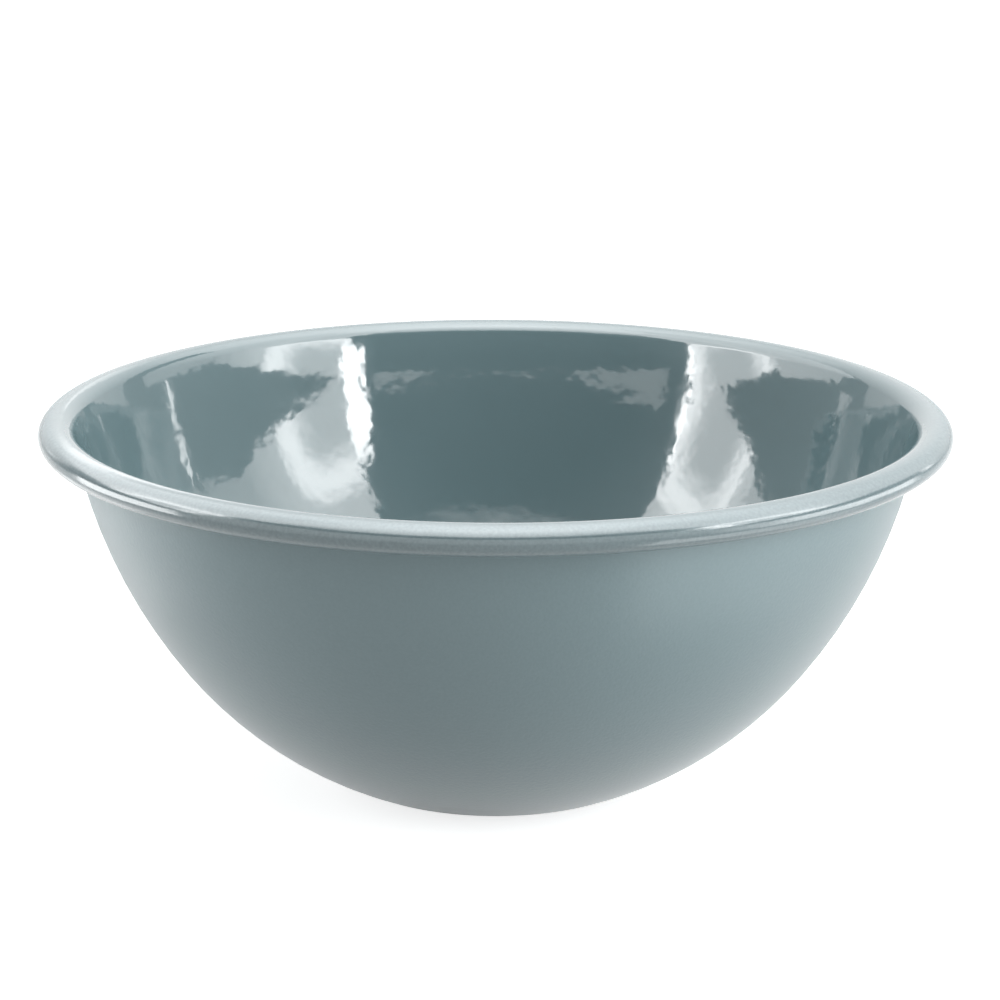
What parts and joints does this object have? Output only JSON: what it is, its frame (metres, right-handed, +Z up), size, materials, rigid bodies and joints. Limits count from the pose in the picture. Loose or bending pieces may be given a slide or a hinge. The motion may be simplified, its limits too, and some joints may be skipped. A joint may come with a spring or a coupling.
{
  "type": "cereal bowl",
  "caption": "Round enamelled steel cereal bowl with a rolled bead rim and a small flat base, gloss inside and satin outside, for serving food and liquid.",
  "frame": {"origin": "centre of the flat base, on the surface that the bowl stands on", "axes": "+Z up along the bowl's axis; the bowl is round, so X and Y are alike"},
  "size_m": [0.14, 0.14, 0.0586],
  "materials": {
    "sheet_steel": "satin",
    "ground_enamel": "satin",
    "gloss_enamel": "polished",
    "satin_enamel": "satin"
  },
  "bodies": {
    "root": {"steel_shell": "sheet_steel", "inner_ground_coat": "ground_enamel", "outer_ground_coat": "ground_enamel", "inner_gloss_coat": "gloss_enamel", "outer_satin_coat": "satin_enamel"}
  },
  "joints": []
}
